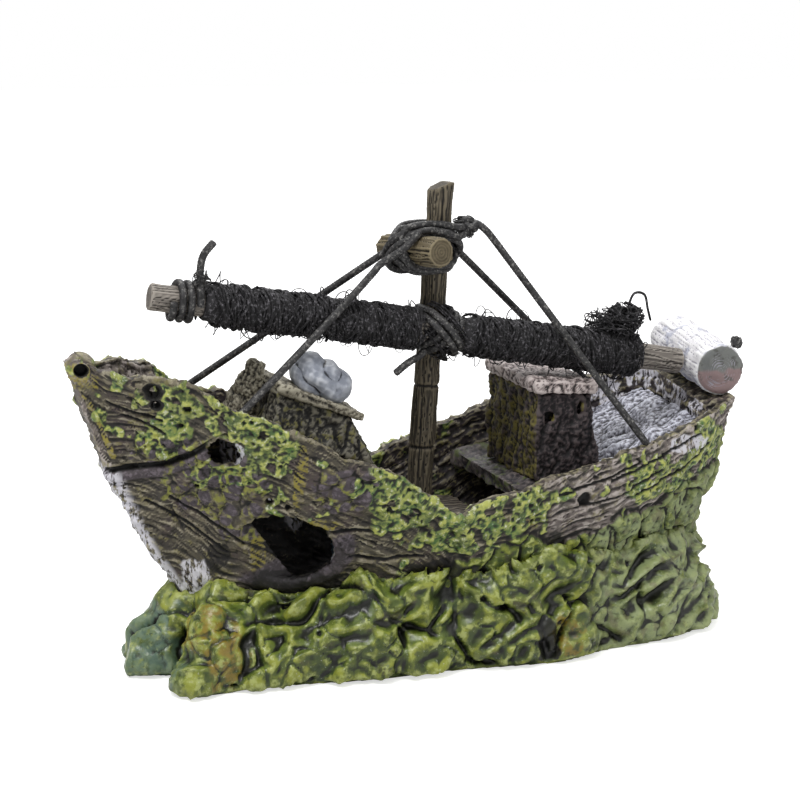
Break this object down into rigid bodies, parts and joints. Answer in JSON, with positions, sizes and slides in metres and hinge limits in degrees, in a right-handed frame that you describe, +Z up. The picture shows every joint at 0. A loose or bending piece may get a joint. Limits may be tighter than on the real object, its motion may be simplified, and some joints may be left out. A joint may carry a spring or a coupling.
{
  "type": "aquarium shipwreck ornament with air outlet",
  "caption": "Shipwreck ornament for an aquarium: broken hull on a mossy rock, lashed wooden mast, crosspiece and boom with a furled sail, and an air stone in the hollow bow.",
  "frame": {"origin": "centre of the bounding box on the ground plane, under the rock's flat underside", "axes": "+Z up, -X towards the bow, -Y the port side with the large opening"},
  "size_m": [0.193, 0.0756, 0.1281],
  "materials": {
    "mossy_rock": "satin",
    "weathered_hull": "satin",
    "old_deck": "matte",
    "bleached_deck": "matte",
    "olive_timber": "matte",
    "grey_timber": "matte",
    "silver_boulder": "satin",
    "brown_cabin": "matte",
    "worn_roof": "matte",
    "bleached_log": "matte",
    "mast_wood": "matte",
    "crosspiece_wood": "matte",
    "boom_wood": "matte",
    "dark_fibre": "matte",
    "waxed_cord": "satin",
    "clear_plastic": "gloss",
    "air_stone_grit": "matte"
  },
  "bodies": {
    "root": {"rock_base": "mossy_rock", "hull_shell": "weathered_hull", "foredeck": "old_deck", "main_deck": "old_deck", "aft_deck": "bleached_deck", "hatch_house": "olive_timber", "hatch_rim": "grey_timber", "hatch_boulder": "silver_boulder", "broken_post": "olive_timber", "aft_cabin": "brown_cabin", "cabin_roof": "worn_roof", "stern_log": "bleached_log", "log_knot": "waxed_cord", "mast": "mast_wood", "mast_crosspiece": "crosspiece_wood", "boom": "boom_wood", "furled_sail_fore": "dark_fibre", "furled_sail_aft": "dark_fibre", "sail_tuft": "dark_fibre", "stay_port_fore": "waxed_cord", "stay_starboard_fore": "waxed_cord", "stay_port_aft": "waxed_cord", "stay_starboard_aft": "waxed_cord", "masthead_knot": "waxed_cord", "masthead_lashing_under": "waxed_cord", "masthead_lashing_over": "waxed_cord", "boom_lashing_under": "waxed_cord", "boom_lashing_over": "waxed_cord", "boom_lashing_tail": "waxed_cord", "fore_seizing": "waxed_cord", "air_inlet": "clear_plastic", "air_tube": "clear_plastic", "air_stone": "air_stone_grit"}
  },
  "joints": []
}
